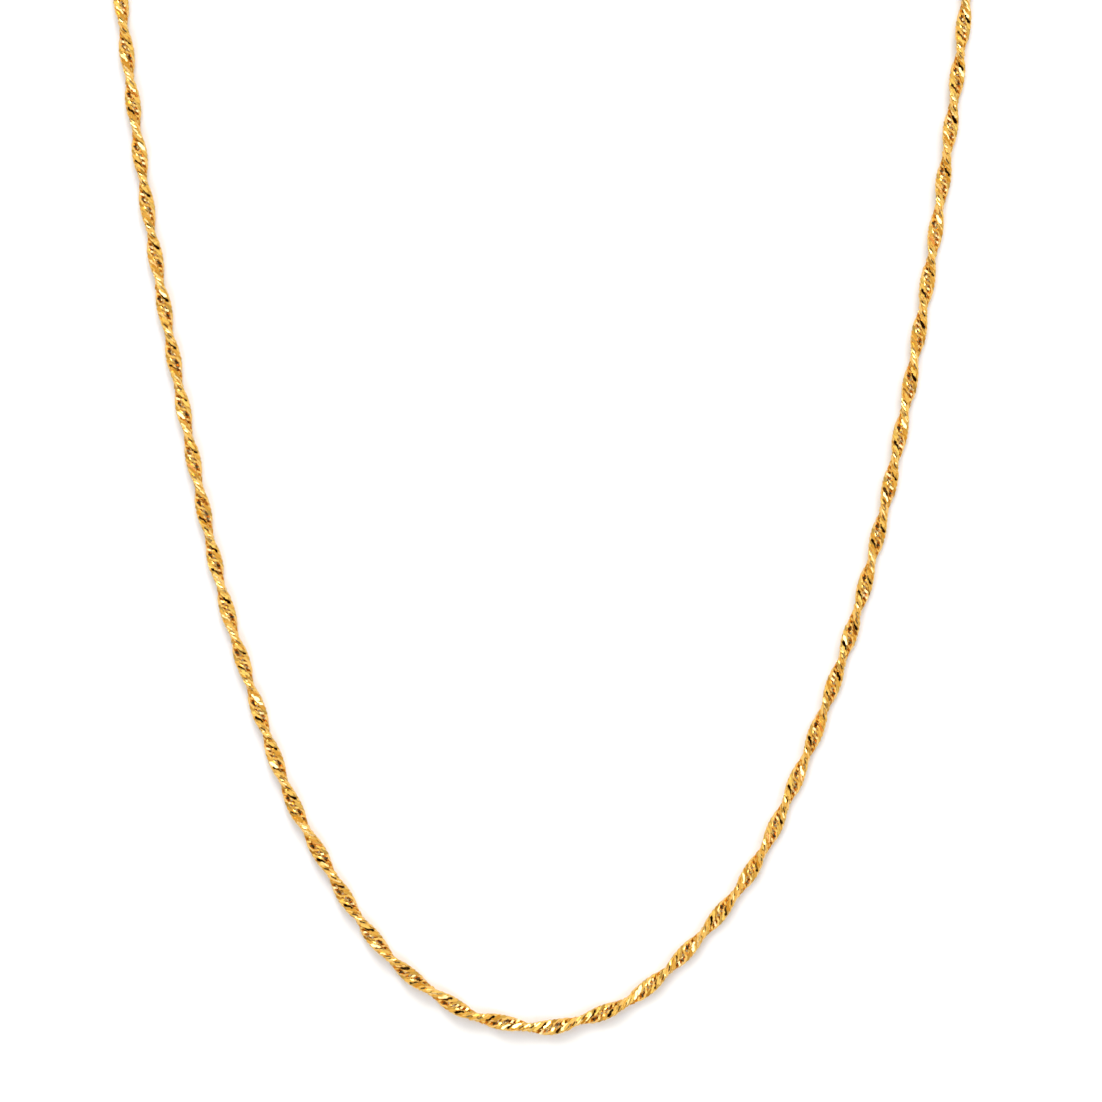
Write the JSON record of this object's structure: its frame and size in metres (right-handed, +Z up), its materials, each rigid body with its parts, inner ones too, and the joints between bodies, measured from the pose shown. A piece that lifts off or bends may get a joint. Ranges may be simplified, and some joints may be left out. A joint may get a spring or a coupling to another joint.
{
  "type": "singapore chain necklace",
  "caption": "Necklace of twisted curb links in a flat band that turns along its length, closed to a loop by a ring clasp and two jump rings, lying flat.",
  "frame": {"origin": "middle of the necklace's outline, on the surface that it lies on", "axes": "+Z up from the surface, +Y from the lowest point of the chain towards the clasp, +X to the right as seen from above"},
  "size_m": [0.0987, 0.1858, 0.0037],
  "materials": {
    "chain_gold": "bright yellow gold, diamond cut, with fine cutting streaks",
    "clasp_gold": "polished yellow gold"
  },
  "bodies": {
    "root": {"chain_left": "chain_gold", "chain_right": "chain_gold", "ring_left": "clasp_gold", "ring_right": "clasp_gold", "clasp": "clasp_gold"}
  },
  "joints": []
}
